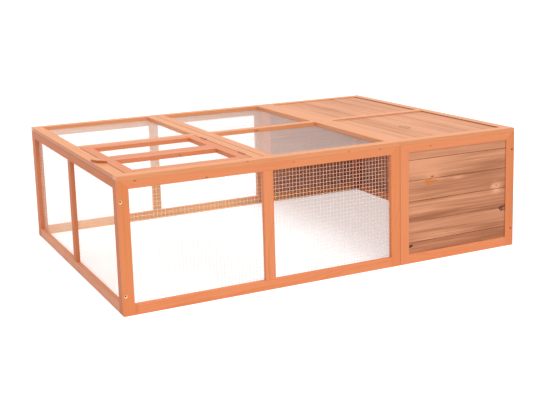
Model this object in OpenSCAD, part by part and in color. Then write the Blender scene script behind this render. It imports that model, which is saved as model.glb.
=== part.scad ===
// Outdoor rabbit run: a bottomless timber and wire-mesh enclosure with a boarded shelter end.
// The walls are separate framed panels, the roof frames lie on top of them, and a mesh lid in
// the roof swings up on two butt hinges and is held down by a wooden turn button.
// Millimetres, Z up, origin on the ground under the middle of the run, front towards -Y.

/* [Overall] */
// Length of the run along X
run_l = 1500; // [1350:10:1700]
// Width of the run along Y
run_w = 1100; // [980:10:1300]
// Height of the wall panels
wall_h = 425; // [360:5:500]
// Length of the mesh part, from the left end to the shelter
mesh_l = 1006; // [930:2:1060]

/* [Wall frames] */
// Thickness of the wall frames
frame_t = 15; // [14:0.5:20]
// Width of the stiles of the long walls
stile_w = 36; // [32:1:46]
// Width of the stiles of the end walls
end_stile_w = 30; // [29:1:40]
// Height of the top rails
top_rail_h = 27; // [22:1:29]
// Height of the bottom rails
bottom_rail_h = 34; // [28:1:44]

/* [Roof frames] */
// Thickness of the roof frames
roof_t = 15; // [14:0.5:20]
// Width of the roof rails along the outside edges
edge_rail_w = 38; // [36:1:46]
// Width of the rails inside the roof and of the lid's frame
inner_rail_w = 36; // [30:1:42]
// Seam between the two transverse rails, from the left end
transverse_x = 506; // [470:2:540]
// Gap between neighbouring transverse rails
transverse_gap = 0.5; // [0.3:0.1:1.5]
// Front edge of the cross rails, from the front
cross_y = 539; // [500:2:580]

/* [Lid] */
// Gap between the lid and the roof rails round it
lid_gap = 2; // [1.5:0.1:3]
// Gap between the lid and the rail that carries its hinges
hinge_gap = 3; // [2.8:0.1:3.6]
// Width of each of the two battens across the middle of the lid
batten_w = 38; // [28:1:44]
// Length of each stop under the left roof rail
stop_l = 60; // [40:5:90]
// Height of each stop
stop_h = 12; // [10:1:18]
// How far a stop reaches under the lid
stop_reach = 8; // [5:1:8]
// Clearance between a stop and the lid lying on it
stop_clear = 0.4; // [0.3:0.1:0.6]

/* [Hinges] */
// Length of a hinge along its pin
hinge_l = 50; // [40:1:70]
// Distance of a hinge from each end of the lid
hinge_inset = 60; // [40:5:110]
// Thickness of a hinge leaf
leaf_t = 1.2; // [1:0.1:1.25]
// Height of a hinge leaf below the pin
leaf_h = 14; // [12:0.5:15]
// Outer radius of a knuckle
knuckle_r = 2.8; // [2.6:0.1:3]
// Radius of a hinge pin
pin_r = 1.4; // [1.2:0.1:1.5]
// Radial clearance of the moving knuckles on the pin
pin_fit = 0.05; // [0.03:0.01:0.09]
// Height of the pin above the top of the roof
pin_z = 1.6; // [1.2:0.1:2.4]
// Thickness of the head at each end of a pin
pin_head_t = 0.8; // [0.5:0.1:1.2]
// How much wider than the pin its heads are
pin_head_lip = 0.6; // [0.4:0.1:0.9]
// Gap between neighbouring knuckles
knuckle_gap = 0.3; // [0.2:0.1:0.5]
// Room round a knuckle in its mortise
mortise_clear = 0.6; // [0.4:0.1:1]

/* [Turn button] */
// Length of the turn button from tip to tip
button_l = 67; // [56:1:67]
// Radius of the round middle of the button
button_hub_r = 9.5; // [8:0.5:11]
// Half the width of the button's arms where they leave the middle
button_arm_r = 6.5; // [5:0.5:7.5]
// Radius of the button's tips
button_end_r = 2.5; // [2:0.1:2.6]
// Thickness of the turn button
button_t = 8; // [6:0.5:12]
// Radius of the low boss under the screw's head
button_boss_r = 5.8; // [5:0.2:6.4]
// Height of that boss
button_boss_h = 1; // [0.6:0.1:2]
// Angle of the button from the X axis, turned towards the front
button_turn = 57; // [57:1:90]
// Distance of the button's screw from the left end
button_x = 19.8; // [19.5:0.1:20]
// Distance of the button's screw from the front of the run
button_y = 243; // [100:1:480]
// Shank radius of the button's screw
button_screw_r = 1.8; // [1.5:0.1:2.2]
// Radial clearance of the button on its screw
button_fit = 0.06; // [0.03:0.01:0.09]
// Gap above and below the button
button_gap = 0.3; // [0.2:0.1:0.6]
// Radius of the washer under the button
washer_r = 5; // [4:0.5:7]
// Thickness of the washer
washer_t = 0.6; // [0.4:0.1:1]
// Radius of the button screw's head
button_head_r = 3.8; // [3.4:0.1:4.4]
// Height of the button screw's head
button_head_h = 2.2; // [1.6:0.1:2.8]
// How far the screw's shank stops short of the underside of the roof rail
button_screw_short = 2; // [1:0.5:4]

/* [Boards] */
// Width that one tongue-and-groove board covers
board_w = 73.5; // [60:0.5:95]
// Thickness of the boards
board_t = 9; // [8:0.5:10]
// How far the boards lie behind the outer face of their frame
board_recess = 3.5; // [2.5:0.5:4]
// Depth of the frame groove that holds the boards
groove_d = 6; // [4:0.5:8]
// Clearance of the boards in that groove
board_fit = 0.15; // [0.1:0.05:0.4]
// Length of a board's tongue
tongue_l = 4; // [3:0.5:5]
// Thickness of a board's tongue
tongue_t = 2.8; // [2.2:0.1:3.2]
// Clearance round the tongue in its groove
tongue_fit = 0.2; // [0.1:0.05:0.3]
// Gap between the shoulders of neighbouring boards
board_gap = 0.4; // [0.3:0.1:0.8]
// Bevel along the visible edges of a board
board_bevel = 1.6; // [0.8:0.1:2]
// Part of the lowest wall board that shows above the bottom rail
low_board_share = 0.55; // [0.2:0.05:0.9]

/* [Net] */
// Most openings in one net, which the wire spacing follows
net_gaps = 290; // [120:10:300]
// Width of a net wire
net_wire = 1.8; // [1.2:0.1:3]
// Thickness of a net
net_t = 1.2; // [0.8:0.1:1.4]
// Distance of a net's edge from the edge of its panel
net_edge = 8; // [6:1:12]

/* [Corner screws] */
// Distance of the screws from the ends of the run
screw_x = 9; // [7:0.5:10]
// Height of the lower screws
screw_low_z = 64; // [50:2:110]
// Height of the upper screws below the top of the wall
screw_top_drop = 65; // [45:2:110]
// Shank radius of the screws
screw_r = 1.75; // [1.5:0.05:2]
// Head radius of the screws
screw_head_r = 3; // [3:0.1:3.8]
// Length of the screws
screw_l = 34; // [28:1:36]
// Depth of a screw's head below the face of the wall
screw_sink = 3.5; // [3:0.5:5]
// Radius of the countersink at the face of the wall
screw_mouth_r = 5.2; // [4.2:0.1:5.2]
// Depth of the countersink's cone
screw_mouth_depth = 2.6; // [1.5:0.1:2.8]
// Radial clearance of a screw in its hole
screw_fit = 0.1; // [0.05:0.05:0.3]

/* [Hidden] */
$fn = 48;
eps = 0.01;
spare = 1;                                        // how far a cutting block passes what it cuts
roof_z = wall_h;                                  // underside of the roof frames
top_z = wall_h + roof_t;                          // top of the roof
shelter_l = run_l - mesh_l;
end_l = run_w - 2 * frame_t;                      // the end walls stand between the long walls
board_back = frame_t - board_recess - board_t;    // boards above the inner face of a wall frame
roof_board_back = roof_t - board_recess - board_t;

transverse_left = transverse_x - transverse_gap / 2 - inner_rail_w;
transverse_right = transverse_x + transverse_gap / 2 + inner_rail_w;
side_rail_l = run_w - 2 * edge_rail_w;            // roof rails between the front and back rails

lid_x0 = edge_rail_w + lid_gap;
lid_x1 = transverse_left - hinge_gap;
lid_y0 = edge_rail_w + lid_gap;
lid_y1 = cross_y - lid_gap;
lid_mid_y = (lid_y0 + lid_y1) / 2;

hinge_x = transverse_left - hinge_gap / 2;        // axis of the lid's hinges
hinge_z = top_z + pin_z;
hinge_ys = [lid_y0 + hinge_inset, lid_y1 - hinge_inset - hinge_l];
knuckles = 5;
knuckle_l = hinge_l / knuckles;
mortise_r = knuckle_r + mortise_clear;

button_z = top_z + washer_t + button_gap;
screw_zs = [screw_low_z, wall_h - screw_top_drop];

// ---- Placing -------------------------------------------------------------------------------
// The shapes are drawn from the front left corner of the run; this moves them to the origin.
module run() translate([-run_l / 2, -run_w / 2, 0]) children();

// A wall is drawn flat: length along x, height along y, and z from its inner to its outer face.
module on_front(x = 0) translate([x, frame_t, 0]) rotate([90, 0, 0]) children();
module on_back(x = 0)
    translate([x, run_w - frame_t, 0]) mirror([0, 1, 0]) rotate([90, 0, 0]) children();
module on_left()
    translate([frame_t, frame_t, 0]) mirror([1, 0, 0]) rotate([90, 0, 90]) children();
module on_right() translate([run_l - frame_t, frame_t, 0]) rotate([90, 0, 90]) children();

// ---- Wall frames, drawn flat ---------------------------------------------------------------
// The stiles run full height, and the top rail meets them in a mitre below its outer end.
module stile(w) linear_extrude(frame_t)
    polygon([[0, 0], [w, 0], [w, wall_h - top_rail_h], [w - top_rail_h, wall_h], [0, wall_h]]);

module side_stiles(l, w) {
    stile(w);
    translate([l, 0, 0]) mirror([1, 0, 0]) stile(w);
}

module mid_stile(l, w) translate([(l - w) / 2, bottom_rail_h, 0])
    cube([w, wall_h - top_rail_h - bottom_rail_h, frame_t]);

module top_rail(l, w) linear_extrude(frame_t)
    polygon([[w - top_rail_h, wall_h], [w, wall_h - top_rail_h],
        [l - w, wall_h - top_rail_h], [l - w + top_rail_h, wall_h]]);

module bottom_rail(l, w) translate([w, 0, 0]) cube([l - 2 * w, bottom_rail_h, frame_t]);

// Start and length of the openings between the stiles, with or without a mid stile
function one_bay(l, w) = [[w, l - 2 * w]];
function two_bays(l, w) = [for (k = [0, 1]) [w + k * (l - w) / 2, (l - 3 * w) / 2]];

// ---- Net, drawn flat: square openings in a thin sheet on the inner face --------------------
module net(l, h) {
    pitch = sqrt(l * h / net_gaps);
    nx = floor((l - net_wire) / pitch);
    ny = floor((h - net_wire) / pitch);
    px = (l - net_wire) / nx;
    py = (h - net_wire) / ny;
    linear_extrude(net_t) difference() {
        square([l, h]);
        for (i = [0:nx - 1], j = [0:ny - 1])
            translate([net_wire + i * px, net_wire + j * py])
                square([px - net_wire, py - net_wire]);
    }
}

module wall_net(l, side) translate([net_edge + side, net_edge, -net_t])
    net(l - 2 * (net_edge + side), wall_h - 2 * net_edge);

// ---- Tongue-and-groove boards --------------------------------------------------------------
// Section of one board: x across its width, y from its back to its bevelled face
module board_section() {
    low = (board_t - tongue_t) / 2;
    high = (board_t + tongue_t) / 2;
    side = board_w - board_gap;
    polygon([[0, 0], [side, 0], [side, low], [side + tongue_l, low],
        [side + tongue_l, high], [side, high], [side, board_t - board_bevel],
        [side - board_bevel, board_t], [board_bevel, board_t], [0, board_t - board_bevel],
        [0, high + tongue_fit], [tongue_l + tongue_fit, high + tongue_fit],
        [tongue_l + tongue_fit, low - tongue_fit], [0, low - tongue_fit]]);
}

// Boards side by side along x from first to last, cut to x0..x1; they run along z for length l
module boards(x0, x1, first, l) {
    n = ceil((x1 - first) / board_w);
    for (i = [0:n - 1]) intersection() {
        translate([first + i * board_w, 0, 0]) linear_extrude(l) board_section();
        translate([x0, -eps, -eps]) cube([x1 - x0, board_t + 2 * eps, l + 2 * eps]);
    }
}

module wall_boards(bays) for (bay = bays)
    translate([bay[0] - groove_d, 0, board_back]) rotate([90, 0, 90])
        boards(bottom_rail_h - groove_d, wall_h - top_rail_h + groove_d,
            bottom_rail_h - (1 - low_board_share) * board_w, bay[1] + 2 * groove_d);

// The groove in a wall frame that takes the edges of the boards
module wall_groove(bays) for (bay = bays)
    translate([bay[0] - groove_d - board_fit, bottom_rail_h - groove_d - board_fit,
        board_back - board_fit])
        cube([bay[1] + 2 * (groove_d + board_fit),
            wall_h - top_rail_h - bottom_rail_h + 2 * (groove_d + board_fit),
            board_t + 2 * board_fit]);

module grooved(bays) difference() {
    children();
    wall_groove(bays);
}

// ---- Corner screws -------------------------------------------------------------------------
// A screw and its hole lie along -y, with the outer face of the wall at y = 0
module corner_screw() rotate([90, 0, 0]) translate([0, 0, screw_sink]) {
    cylinder(h = screw_l, r = screw_r);
    cylinder(h = screw_head_r - screw_r, r1 = screw_head_r, r2 = screw_r);
}

module screw_hole() rotate([90, 0, 0]) {
    translate([0, 0, -eps]) cylinder(h = screw_sink + screw_l + spare, r = screw_r + screw_fit);
    translate([0, 0, screw_sink - eps]) cylinder(h = screw_head_r - screw_r,
        r1 = screw_head_r + screw_fit, r2 = screw_r + screw_fit);
    translate([0, 0, -eps]) cylinder(h = screw_sink + 2 * eps, r = screw_head_r + screw_fit);
    translate([0, 0, -eps]) cylinder(h = screw_mouth_depth, r1 = screw_mouth_r,
        r2 = screw_head_r + screw_fit);
}

module at_screws() for (x = [screw_x, run_l - screw_x], z = screw_zs) {
    translate([x, 0, z]) rotate([0, 0, 180]) children();
    translate([x, run_w, z]) children();
}

module screwed() difference() {
    children();
    at_screws() screw_hole();
}

// ---- Roof ----------------------------------------------------------------------------------
module roof_bar(x, y, l, w) translate([x, y, roof_z]) cube([l, w, roof_t]);

module roof_net(x0, y0, x1, y1) translate([x0 + net_edge, y0 + net_edge, roof_z - net_t])
    net(x1 - x0 - 2 * net_edge, y1 - y0 - 2 * net_edge);

shelter_bays_y = [[edge_rail_w, cross_y], [cross_y + inner_rail_w, run_w - edge_rail_w]];
shelter_bay_x = [mesh_l + edge_rail_w, run_l - edge_rail_w];

module shelter_roof_grooves() for (bay = shelter_bays_y)
    translate([shelter_bay_x[0] - groove_d - board_fit, bay[0] - groove_d - board_fit,
        roof_z + roof_board_back - board_fit])
        cube([shelter_bay_x[1] - shelter_bay_x[0] + 2 * (groove_d + board_fit),
            bay[1] - bay[0] + 2 * (groove_d + board_fit), board_t + 2 * board_fit]);

module shelter_grooved() difference() {
    children();
    shelter_roof_grooves();
}

// ---- Hinges: leaves stand in the gap beside the lid, knuckles share one pin ----------------
module at_hinges() for (y = hinge_ys) translate([hinge_x, y, hinge_z]) children();

// side is -1 for the leaf on the lid and 1 for the leaf on the rail; first is its first knuckle
module hinge_leaf(side, first) difference() {
    union() {
        translate([side < 0 ? -hinge_gap / 2 : hinge_gap / 2 - leaf_t, 0, -leaf_h])
            cube([leaf_t, hinge_l, leaf_h]);
        for (i = [first:2:knuckles - 1]) translate([0, i * knuckle_l, 0])
            rotate([-90, 0, 0]) cylinder(h = knuckle_l, r = knuckle_r);
    }
    for (i = [1 - first:2:knuckles - 1])
        translate([-knuckle_r - spare, i * knuckle_l - knuckle_gap, -knuckle_r - knuckle_gap])
            cube([2 * (knuckle_r + spare), knuckle_l + 2 * knuckle_gap,
                2 * knuckle_r + knuckle_gap + spare]);
    translate([0, -eps, 0]) rotate([-90, 0, 0])
        cylinder(h = hinge_l + 2 * eps, r = pin_r + pin_fit);
}

module hinge_mortises() at_hinges()
    translate([-mortise_r, -mortise_clear, -mortise_r])
        cube([2 * mortise_r, hinge_l + 2 * mortise_clear, 2 * mortise_r]);

// ---- Walls of the mesh part ----------------------------------------------------------------
module front_side_stiles() color("#E38A58") run() screwed() on_front() side_stiles(mesh_l, stile_w);
module front_mid_stile() color("#E8935F") run() on_front() mid_stile(mesh_l, stile_w);
module front_top_rail() color("#EA9763") run() on_front() top_rail(mesh_l, stile_w);
module front_bottom_rail() color("#DD8552") run() on_front() bottom_rail(mesh_l, stile_w);
module front_net() color("#C9CCCE") run() on_front() wall_net(mesh_l, frame_t);

module back_side_stiles() color("#E38A58") run() screwed() on_back() side_stiles(mesh_l, stile_w);
module back_mid_stile() color("#E8935F") run() on_back() mid_stile(mesh_l, stile_w);
module back_top_rail() color("#EA9763") run() on_back() top_rail(mesh_l, stile_w);
module back_bottom_rail() color("#DD8552") run() on_back() bottom_rail(mesh_l, stile_w);
module back_net() color("#C9CCCE") run() on_back() wall_net(mesh_l, frame_t);

module left_side_stiles()
    color("#CD8264") run() screwed() on_left() side_stiles(end_l, end_stile_w);
module left_mid_stile() color("#C87855") run() on_left() mid_stile(end_l, end_stile_w);
module left_top_rail() color("#CD8264") run() on_left() top_rail(end_l, end_stile_w);
module left_bottom_rail() color("#C87855") run() on_left() bottom_rail(end_l, end_stile_w);
module left_net() color("#C9CCCE") run() on_left() wall_net(end_l, net_edge);

// ---- Walls of the shelter ------------------------------------------------------------------
module right_frame() run() grooved_right() children();
module grooved_right() difference() {
    children();
    on_right() wall_groove(two_bays(end_l, end_stile_w));
}
module right_side_stiles()
    color("#CD8264") right_frame() screwed() on_right() side_stiles(end_l, end_stile_w);
module right_mid_stile() color("#C87855") right_frame() on_right() mid_stile(end_l, end_stile_w);
module right_top_rail() color("#CD8264") right_frame() on_right() top_rail(end_l, end_stile_w);
module right_bottom_rail()
    color("#C87855") right_frame() on_right() bottom_rail(end_l, end_stile_w);
module right_boards() color("#C8826A") run() on_right() wall_boards(two_bays(end_l, end_stile_w));

shelter_bays = one_bay(shelter_l, stile_w);
module shelter_front_stiles() color("#E38A58") run() screwed() on_front(mesh_l)
    grooved(shelter_bays) side_stiles(shelter_l, stile_w);
module shelter_front_top_rail() color("#EA9763") run() on_front(mesh_l)
    grooved(shelter_bays) top_rail(shelter_l, stile_w);
module shelter_front_bottom_rail() color("#DD8552") run() on_front(mesh_l)
    grooved(shelter_bays) bottom_rail(shelter_l, stile_w);
module shelter_front_boards() color("#D7967A") run() on_front(mesh_l) wall_boards(shelter_bays);

module shelter_back_stiles() color("#E38A58") run() screwed() on_back(mesh_l)
    grooved(shelter_bays) side_stiles(shelter_l, stile_w);
module shelter_back_top_rail() color("#EA9763") run() on_back(mesh_l)
    grooved(shelter_bays) top_rail(shelter_l, stile_w);
module shelter_back_bottom_rail() color("#DD8552") run() on_back(mesh_l)
    grooved(shelter_bays) bottom_rail(shelter_l, stile_w);
module shelter_back_boards() color("#D7967A") run() on_back(mesh_l) wall_boards(shelter_bays);

// ---- Roof over the mesh part ---------------------------------------------------------------
module roof_front_rail() color("#FAAF8C") run() roof_bar(0, 0, mesh_l, edge_rail_w);
module roof_back_rail() color("#FAAF8C") run()
    roof_bar(0, run_w - edge_rail_w, mesh_l, edge_rail_w);
module roof_left_rail() color("#F4A684") run() difference() {
    roof_bar(0, edge_rail_w, edge_rail_w, side_rail_l);
    translate([button_x, button_y, roof_z - eps])
        cylinder(h = roof_t + 2 * eps, r = button_screw_r + button_fit);
}
module roof_transverse_rails() color("#F4A684") run() difference() {
    for (x = [transverse_left, transverse_right - inner_rail_w])
        roof_bar(x, edge_rail_w, inner_rail_w, side_rail_l);
    hinge_mortises();
}
module roof_right_rail() color("#F4A684") run()
    roof_bar(mesh_l - inner_rail_w, edge_rail_w, inner_rail_w, side_rail_l);
module roof_cross_rail() color("#FAAF8C") run()
    roof_bar(edge_rail_w, cross_y, transverse_left - edge_rail_w, inner_rail_w);
module roof_mid_rail() color("#FAAF8C") run()
    roof_bar(transverse_right, cross_y, mesh_l - inner_rail_w - transverse_right, inner_rail_w);
module roof_left_net() color("#C9CCCE") run()
    roof_net(frame_t, cross_y, transverse_x, run_w - frame_t);
module roof_right_net() color("#C9CCCE") run()
    roof_net(transverse_x, frame_t, mesh_l, run_w - frame_t);

// ---- Roof over the shelter -----------------------------------------------------------------
module shelter_roof_front_rail() color("#FAAF8C") run()
    shelter_grooved() roof_bar(mesh_l, 0, shelter_l, edge_rail_w);
module shelter_roof_back_rail() color("#FAAF8C") run()
    shelter_grooved() roof_bar(mesh_l, run_w - edge_rail_w, shelter_l, edge_rail_w);
module shelter_roof_side_rails() color("#F4A684") run() shelter_grooved()
    for (x = [mesh_l, run_l - edge_rail_w]) roof_bar(x, edge_rail_w, edge_rail_w, side_rail_l);
module shelter_roof_mid_rail() color("#FAAF8C") run() shelter_grooved()
    roof_bar(mesh_l + edge_rail_w, cross_y, shelter_l - 2 * edge_rail_w, inner_rail_w);
module shelter_roof_boards() color("#E0A78A") run() for (bay = shelter_bays_y)
    translate([0, bay[1] + groove_d, roof_z + roof_board_back]) rotate([90, 0, 0])
        boards(shelter_bay_x[0] - groove_d, shelter_bay_x[1] + groove_d,
            shelter_bay_x[0] - groove_d, bay[1] - bay[0] + 2 * groove_d);

// ---- Lid -----------------------------------------------------------------------------------
module hatch_stiles() color("#F6A178") run() difference() {
    for (x = [lid_x0, lid_x1 - inner_rail_w])
        roof_bar(x, lid_y0, inner_rail_w, lid_y1 - lid_y0);
    hinge_mortises();
}
module hatch_end_rails() color("#F9A77F") run() for (y = [lid_y0, lid_y1 - inner_rail_w])
    roof_bar(lid_x0 + inner_rail_w, y, lid_x1 - lid_x0 - 2 * inner_rail_w, inner_rail_w);
module hatch_mid_rails() color("#F9A77F") run() for (side = [-1, 1])
    roof_bar(lid_x0 + inner_rail_w,
        lid_mid_y + side * (batten_w + transverse_gap) / 2 - batten_w / 2,
        lid_x1 - lid_x0 - 2 * inner_rail_w, batten_w);
module hatch_net() color("#C9CCCE") run() roof_net(lid_x0 + stop_reach, lid_y0, lid_x1, lid_y1);

// Stops under the left roof rail, with a lower step where the lid comes down on them
module hatch_stops() color("#D98E62") run()
    for (y = [lid_y0 + hinge_inset, lid_y1 - hinge_inset - stop_l])
        translate([0, y + stop_l, roof_z]) rotate([90, 0, 0]) linear_extrude(stop_l)
            polygon([[frame_t + 2 * net_t, -stop_h], [lid_x0 + stop_reach, -stop_h],
                [lid_x0 + stop_reach, -stop_clear], [edge_rail_w, -stop_clear],
                [edge_rail_w, 0], [frame_t + 2 * net_t, 0]]);

module hinge_fixed_leaves() color("#B9B6AE") run() at_hinges() hinge_leaf(1, 0);
module hinge_moving_leaves() color("#C4C1B9") run() at_hinges() hinge_leaf(-1, 1);
module hinge_pins() color("#8E8C87") run() at_hinges()
    translate([0, -pin_head_t, 0]) rotate([-90, 0, 0]) {
        cylinder(h = hinge_l + 2 * pin_head_t, r = pin_r);
        for (z = [0, hinge_l + pin_head_t]) translate([0, 0, z])
            cylinder(h = pin_head_t, r = pin_r + pin_head_lip);
    }

// ---- Turn button ---------------------------------------------------------------------------
// A round middle with two arms that taper to small round tips, and a low boss at the screw
module button_outline() {
    circle(r = button_hub_r);
    for (side = [-1, 1]) hull() {
        circle(r = button_arm_r);
        translate([side * (button_l / 2 - button_end_r), 0]) circle(r = button_end_r);
    }
}
module turn_button() color("#C98358") run()
    translate([button_x, button_y, button_z]) rotate([0, 0, -button_turn]) difference() {
        union() {
            linear_extrude(button_t) button_outline();
            cylinder(h = button_t + button_boss_h, r = button_boss_r);
        }
        translate([0, 0, -eps]) cylinder(h = button_t + button_boss_h + 2 * eps,
            r = button_screw_r + button_fit);
    }
module turn_button_washer() color("#A9A8A4") run() translate([button_x, button_y, top_z])
    difference() {
        cylinder(h = washer_t, r = washer_r);
        translate([0, 0, -eps])
            cylinder(h = washer_t + 2 * eps, r = button_screw_r + button_fit);
    }
module turn_button_screw() color("#B9B6AE") run() translate([button_x, button_y, 0]) {
    shank_z = roof_z + button_screw_short;
    head_z = button_z + button_t + button_boss_h + button_gap;
    translate([0, 0, shank_z]) cylinder(h = head_z - shank_z, r = button_screw_r);
    translate([0, 0, head_z])
        cylinder(h = button_head_h, r1 = button_head_r, r2 = button_head_r - button_gap);
}

module corner_screws() color("#8E8C87") run() at_screws() corner_screw();

front_side_stiles();
front_mid_stile();
front_top_rail();
front_bottom_rail();
front_net();
back_side_stiles();
back_mid_stile();
back_top_rail();
back_bottom_rail();
back_net();
left_side_stiles();
left_mid_stile();
left_top_rail();
left_bottom_rail();
left_net();
right_side_stiles();
right_mid_stile();
right_top_rail();
right_bottom_rail();
right_boards();
shelter_front_stiles();
shelter_front_top_rail();
shelter_front_bottom_rail();
shelter_front_boards();
shelter_back_stiles();
shelter_back_top_rail();
shelter_back_bottom_rail();
shelter_back_boards();
roof_front_rail();
roof_back_rail();
roof_left_rail();
roof_transverse_rails();
roof_right_rail();
roof_cross_rail();
roof_mid_rail();
roof_left_net();
roof_right_net();
shelter_roof_front_rail();
shelter_roof_back_rail();
shelter_roof_side_rails();
shelter_roof_mid_rail();
shelter_roof_boards();
hatch_stiles();
hatch_end_rails();
hatch_mid_rails();
hatch_net();
hatch_stops();
hinge_fixed_leaves();
hinge_moving_leaves();
hinge_pins();
turn_button();
turn_button_washer();
turn_button_screw();
corner_screws();
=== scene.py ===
"""Outdoor rabbit run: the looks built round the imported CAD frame.

Metres, Z up, X along the front wall, the same frame as the CAD. The timber is the CAD's own
solids with eased edges and a grained, stained finish. The nets are rebuilt with the real
half-inch welded wire, and staples and cross-recess screws are added.
"""
import math
import random

import bpy
from mathutils import Matrix, Vector
from mathutils.geometry import tessellate_polygon


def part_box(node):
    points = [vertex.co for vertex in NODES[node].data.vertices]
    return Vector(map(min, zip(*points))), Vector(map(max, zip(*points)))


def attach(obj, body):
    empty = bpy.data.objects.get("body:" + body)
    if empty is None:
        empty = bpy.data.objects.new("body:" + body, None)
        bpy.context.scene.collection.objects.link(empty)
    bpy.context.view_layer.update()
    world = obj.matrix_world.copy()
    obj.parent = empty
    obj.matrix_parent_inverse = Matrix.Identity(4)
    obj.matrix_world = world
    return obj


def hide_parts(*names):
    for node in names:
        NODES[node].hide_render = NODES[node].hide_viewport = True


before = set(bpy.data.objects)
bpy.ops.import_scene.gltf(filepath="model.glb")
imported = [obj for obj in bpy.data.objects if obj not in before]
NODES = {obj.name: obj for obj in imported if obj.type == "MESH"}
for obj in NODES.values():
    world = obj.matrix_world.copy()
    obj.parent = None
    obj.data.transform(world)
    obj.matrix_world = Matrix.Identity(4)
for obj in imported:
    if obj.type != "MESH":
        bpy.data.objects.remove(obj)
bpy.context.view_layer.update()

MM = 0.001
RUN_L, RUN_W, WALL_H, TOP_Z = 1.5, 1.1, 0.425, 0.44
FRAME_T = 0.015                 # thickness of the wall frames


def at(x, y, z):
    """A point given in mm from the front left corner of the run, as part.scad draws it."""
    return Vector((x * MM - RUN_L / 2, y * MM - RUN_W / 2, z * MM))


# ---- Camera ---------------------------------------------------------------------------------
IMAGE_W = 550
FOCAL_PX = 1000
SENSOR_W = 36
PRINCIPAL_UP_PX = 56            # the optical axis lies this far above the middle of the picture
CAM_AT = at(-857, -2826, 1064)
CAM_YAW, CAM_PITCH, CAM_ROLL = map(math.radians, (26.14, 10.8, -1.61))
CLIP_NEAR, CLIP_FAR = 0.05, 60


def make_camera():
    forward = Vector((math.sin(CAM_YAW) * math.cos(CAM_PITCH),
                      math.cos(CAM_YAW) * math.cos(CAM_PITCH), -math.sin(CAM_PITCH)))
    level = Vector((math.cos(CAM_YAW), -math.sin(CAM_YAW), 0))
    rise = level.cross(forward)
    right = level * math.cos(CAM_ROLL) + rise * math.sin(CAM_ROLL)
    up = rise * math.cos(CAM_ROLL) - level * math.sin(CAM_ROLL)
    data = bpy.data.cameras.new("camera")
    data.sensor_width = SENSOR_W
    data.lens = SENSOR_W * FOCAL_PX / IMAGE_W
    data.shift_y = -PRINCIPAL_UP_PX / IMAGE_W
    data.clip_start, data.clip_end = CLIP_NEAR, CLIP_FAR
    camera = bpy.data.objects.new("camera", data)
    axes = Matrix((right, up, -forward)).transposed().to_4x4()
    camera.matrix_world = Matrix.Translation(CAM_AT) @ axes
    bpy.context.scene.collection.objects.link(camera)
    bpy.context.scene.camera = camera


# ---- Shader graphs --------------------------------------------------------------------------
class Graph:
    """Short calls for building one material's nodes."""

    def __init__(self, name):
        self.material = bpy.data.materials.new(name)
        self.material.use_nodes = True
        self.tree = self.material.node_tree
        self.tree.nodes.clear()
        self.out = self.tree.nodes.new("ShaderNodeOutputMaterial")

    def put(self, socket, value):
        if isinstance(value, bpy.types.NodeSocket):
            self.tree.links.new(value, socket)
        elif value is not None:
            socket.default_value = value

    def node(self, kind, inputs=(), **settings):
        made = self.tree.nodes.new(kind)
        for key, value in settings.items():
            setattr(made, key, value)
        for key, value in dict(inputs).items():
            self.put(made.inputs[key], value)
        return made

    def math(self, operation, a, b=None, c=None, clamp=False):
        made = self.node("ShaderNodeMath", operation=operation, use_clamp=clamp)
        for socket, value in zip(made.inputs, (a, b, c)):
            self.put(socket, value)
        return made.outputs[0]

    def add(self, a, b):
        return self.math("ADD", a, b)

    def mul(self, a, b):
        return self.math("MULTIPLY", a, b)

    def mad(self, a, b, c):
        return self.math("MULTIPLY_ADD", a, b, c)

    def vector(self, operation, a, b=None):
        made = self.node("ShaderNodeVectorMath", operation=operation)
        self.put(made.inputs[0], a)
        self.put(made.inputs[1], b)
        return made.outputs["Value" if operation == "LENGTH" else "Vector"]

    def combine(self, x, y, z):
        made = self.node("ShaderNodeCombineXYZ")
        for socket, value in zip(made.inputs, (x, y, z)):
            self.put(socket, value)
        return made.outputs[0]

    def warped(self, vector, way):
        """A vector moved by one amount along every axis."""
        return self.vector("ADD", vector, self.combine(way, way, way))

    def split(self, vector):
        made = self.node("ShaderNodeSeparateXYZ", {"Vector": vector})
        return [made.outputs[i] for i in range(3)]

    def noise(self, vector, scale, detail=2.0, roughness=0.5, distortion=0.0):
        made = self.node("ShaderNodeTexNoise", {"Vector": vector, "Scale": scale,
                         "Detail": detail, "Roughness": roughness, "Distortion": distortion})
        return made.outputs["Fac"]

    def random(self, value):
        """The same random number wherever value is the same."""
        return self.node("ShaderNodeTexWhiteNoise", {"W": value},
                         noise_dimensions="1D").outputs["Value"]

    def ramp(self, value, *stops):
        made = self.node("ShaderNodeValToRGB", {"Fac": value})
        ramp = made.color_ramp
        while len(ramp.elements) < len(stops):
            ramp.elements.new(0.5)
        for element, (place, grey) in zip(ramp.elements, stops):
            element.position = place
            element.color = (grey, grey, grey, 1)
        return made.outputs["Color"]

    def mix(self, share, a, b):
        made = self.node("ShaderNodeMix", data_type="RGBA")
        self.put(made.inputs["Factor"], share)
        for key, value in (("A", a), ("B", b)):
            socket = [s for s in made.inputs if s.name == key and s.type == "RGBA"][0]
            self.put(socket, (*value, 1) if isinstance(value, tuple) else value)
        return [s for s in made.outputs if s.type == "RGBA"][0]

    def surface(self, colour, roughness, bump, strength, distance, **more):
        """Ends the graph in a Principled surface with bumps of that height."""
        inputs = {"Base Color": colour, "Roughness": roughness, **more}
        made = self.node("ShaderNodeBsdfPrincipled", inputs)
        relief = self.node("ShaderNodeBump", {"Height": bump, "Strength": strength,
                           "Distance": distance})
        self.put(made.inputs["Normal"], relief.outputs["Normal"])
        self.tree.links.new(made.outputs[0], self.out.inputs["Surface"])
        return self.material


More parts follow.
